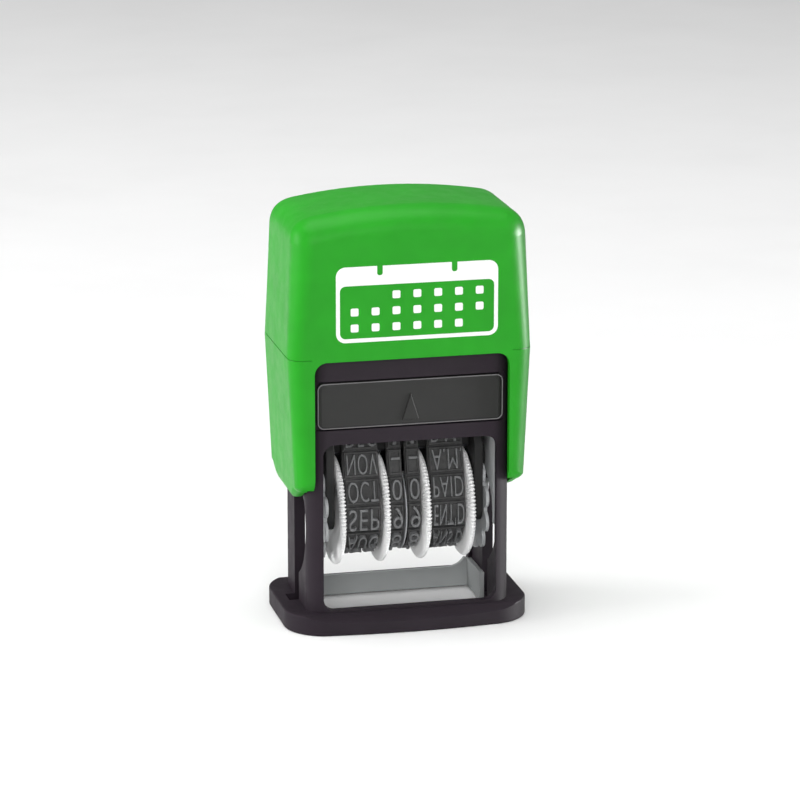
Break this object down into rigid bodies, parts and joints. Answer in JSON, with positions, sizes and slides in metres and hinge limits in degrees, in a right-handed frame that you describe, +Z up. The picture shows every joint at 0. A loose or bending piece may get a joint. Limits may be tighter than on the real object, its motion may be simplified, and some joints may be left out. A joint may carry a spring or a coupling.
{
  "type": "rotary date stamp",
  "caption": "Self-inking date stamp with a push cap, a date unit that turns over, thumbwheels with type bands and a pull-out ink pad.",
  "frame": {"origin": "on the ground, under the middle of the foot", "axes": "+Z up, -Y the front with the window, +X to the right of someone who looks at the front"},
  "size_m": [0.0392, 0.0256, 0.068],
  "materials": {
    "green_plastic": "moulded, satin gloss",
    "black_plastic": "moulded, fine satin grain",
    "drawer_plastic": "moulded, matte",
    "dark_plastic": "moulded, satin",
    "grey_plastic": "moulded, satin",
    "pale_plastic": "moulded, slightly translucent",
    "white_plastic": "moulded, satin gloss",
    "band_rubber": "matte moulded rubber",
    "ink_felt": "ink-soaked felt",
    "steel": "bright drawn wire and strip"
  },
  "bodies": {
    "base": {"base_frame": "black_plastic", "rear_bridge": "grey_plastic", "guide_plate_left": "grey_plastic", "guide_plate_right": "grey_plastic", "return_spring": "steel"},
    "cap": {"cap": "green_plastic", "yoke": "dark_plastic"},
    "dater": {"carriage_plate_left": "dark_plastic", "carriage_plate_right": "dark_plastic", "turn_cam_left": "pale_plastic", "turn_cam_right": "pale_plastic", "pivot_pin_left": "steel", "pivot_pin_right": "steel", "print_block": "dark_plastic", "detent_spring": "steel", "wheel_axle": "steel", "drum_spacer": "pale_plastic", "date_band_month": "band_rubber", "date_band_tens": "band_rubber", "date_band_units": "band_rubber", "date_band_words": "band_rubber"},
    "wheel_1": {"thumbwheel_1": "white_plastic"},
    "wheel_2": {"thumbwheel_2": "white_plastic"},
    "wheel_3": {"thumbwheel_3": "white_plastic"},
    "wheel_4": {"thumbwheel_4": "white_plastic"},
    "pad": {"ink_pad_tray": "drawer_plastic", "ink_pad_felt": "ink_felt"}
  },
  "joints": [
    {"name": "cap_slide", "type": "slide", "parent": "base", "child": "cap", "axis": [0, 0, -1], "range_m": [0, 0.0167], "stiffness_N_per_m": 400, "springref_m": -0.008, "deforming": ["return_spring"]},
    {"name": "dater_flip", "type": "hinge", "parent": "cap", "child": "dater", "pos_m": [0, 0, 0.0247], "axis": [-1, 0, 0], "range_deg": [0, 180]},
    {"name": "ink_pad_slide", "type": "slide", "parent": "base", "child": "pad", "axis": [0, 1, 0], "range_m": [-0.016, 0]},
    {"name": "thumbwheel_1_spin", "type": "hinge", "parent": "dater", "child": "wheel_1", "pos_m": [0, 0, 0.01745], "axis": [1, 0, 0], "continuous": true},
    {"name": "thumbwheel_2_spin", "type": "hinge", "parent": "dater", "child": "wheel_2", "pos_m": [0, 0, 0.01745], "axis": [1, 0, 0], "continuous": true},
    {"name": "thumbwheel_3_spin", "type": "hinge", "parent": "dater", "child": "wheel_3", "pos_m": [0, 0, 0.01745], "axis": [1, 0, 0], "continuous": true},
    {"name": "thumbwheel_4_spin", "type": "hinge", "parent": "dater", "child": "wheel_4", "pos_m": [0, 0, 0.01745], "axis": [1, 0, 0], "continuous": true}
  ],
  "couplings": [
    {"joint": "dater_flip", "follows": "cap_slide", "rad_per_m": 188.1}
  ]
}
